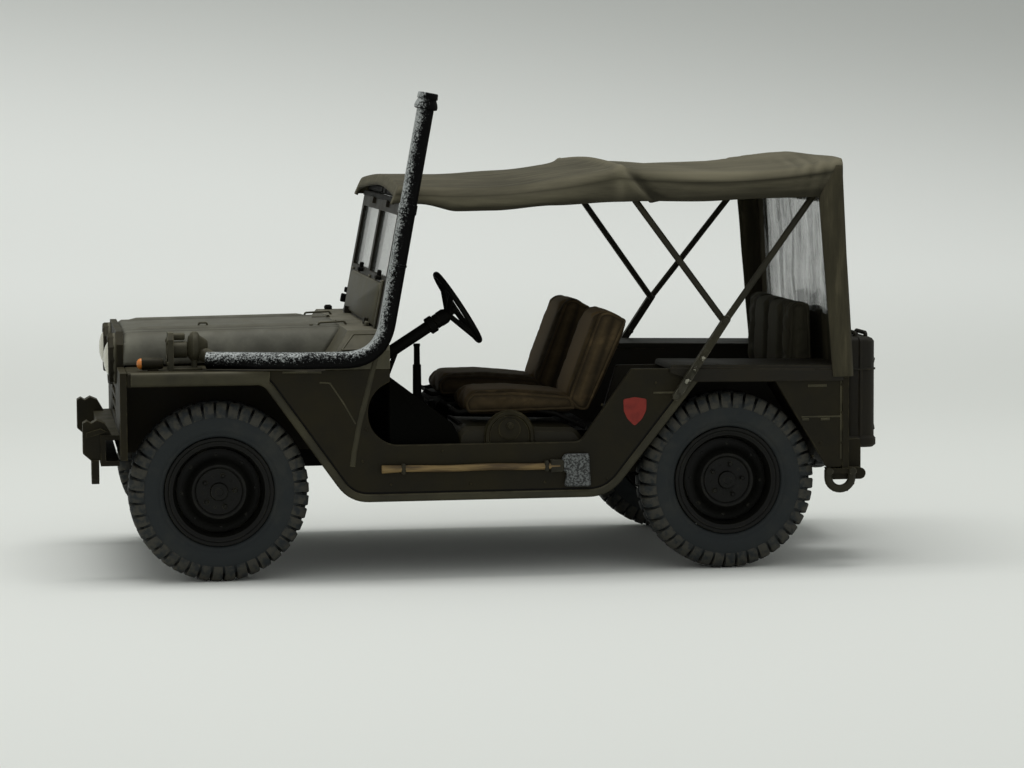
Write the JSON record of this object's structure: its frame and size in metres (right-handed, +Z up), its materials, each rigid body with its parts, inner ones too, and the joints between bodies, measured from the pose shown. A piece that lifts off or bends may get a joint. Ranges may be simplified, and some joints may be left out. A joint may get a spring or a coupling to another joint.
{
  "type": "scale model army four-wheel-drive utility car",
  "caption": "Small painted model of an open army 4x4 utility car with a canvas top, raised fording pipe and free-turning wheels.",
  "frame": {"origin": "on the ground, in the middle of the overall length and width", "axes": "+X forward, +Y to the car's left, +Z up"},
  "size_m": [0.098, 0.0496, 0.0581],
  "materials": {
    "olive_paint": "dull olive paint with worn edges",
    "dark_olive_paint": "dark olive paint, dusty",
    "tyre_rubber": "dusty dark tyre with lugged shoulders",
    "canvas": "moulded cover painted as faded olive canvas",
    "seat_canvas": "moulded seats painted as worn brown canvas",
    "clear_plastic": "clear thin plastic",
    "amber": "amber lens",
    "pipe_black": "black paint rubbed with silver",
    "wood": "painted as bare wood",
    "steel_paint": "speckled silver paint"
  },
  "bodies": {
    "car": {"body_side_left": "olive_paint", "body_side_right": "olive_paint", "wheel_box_left": "olive_paint", "wheel_box_right": "olive_paint", "inner_fenders": "olive_paint", "cowl": "olive_paint", "hood": "olive_paint", "grille": "olive_paint", "rear_panel": "olive_paint", "screen_frame": "olive_paint", "signal_lamps": "olive_paint", "fuel_can": "olive_paint", "can_bracket": "olive_paint", "filler_plate": "olive_paint", "bumper": "olive_paint", "fording_housing": "olive_paint", "main_bow": "olive_paint", "front_bow": "olive_paint", "tow_hook": "olive_paint", "floor_pan": "dark_olive_paint", "seat_frames": "dark_olive_paint", "rear_seat_frame": "dark_olive_paint", "front_axle": "dark_olive_paint", "rear_axle": "dark_olive_paint", "driveline": "dark_olive_paint", "steering": "dark_olive_paint", "levers": "dark_olive_paint", "spare_rim": "dark_olive_paint", "spare_tyre": "tyre_rubber", "canopy": "canvas", "seat_cushion_left": "seat_canvas", "seat_back_left": "seat_canvas", "seat_cushion_right": "seat_canvas", "seat_back_right": "seat_canvas", "rear_seat_cushion": "seat_canvas", "rear_seat_back": "seat_canvas", "screen_glass": "clear_plastic", "rear_window": "clear_plastic", "headlamp_lenses": "clear_plastic", "signal_lenses": "amber", "fording_pipe": "pipe_black", "axe_handle": "wood", "axe_head": "steel_paint"},
    "wheel_front_left": {"tyre_front_left": "tyre_rubber", "rim_front_left": "dark_olive_paint"},
    "wheel_front_right": {"tyre_front_right": "tyre_rubber", "rim_front_right": "dark_olive_paint"},
    "wheel_rear_left": {"tyre_rear_left": "tyre_rubber", "rim_rear_left": "dark_olive_paint"},
    "wheel_rear_right": {"tyre_rear_right": "tyre_rubber", "rim_rear_right": "dark_olive_paint"}
  },
  "joints": [
    {"name": "front_left_wheel_spin", "type": "hinge", "parent": "car", "child": "wheel_front_left", "pos_m": [0.03315, 0.0193, 0.01075], "axis": [0, 1, 0], "continuous": true},
    {"name": "front_right_wheel_spin", "type": "hinge", "parent": "car", "child": "wheel_front_right", "pos_m": [0.03315, -0.0193, 0.01075], "axis": [0, 1, 0], "continuous": true},
    {"name": "rear_left_wheel_spin", "type": "hinge", "parent": "car", "child": "wheel_rear_left", "pos_m": [-0.02855, 0.0193, 0.01075], "axis": [0, 1, 0], "continuous": true},
    {"name": "rear_right_wheel_spin", "type": "hinge", "parent": "car", "child": "wheel_rear_right", "pos_m": [-0.02855, -0.0193, 0.01075], "axis": [0, 1, 0], "continuous": true}
  ]
}
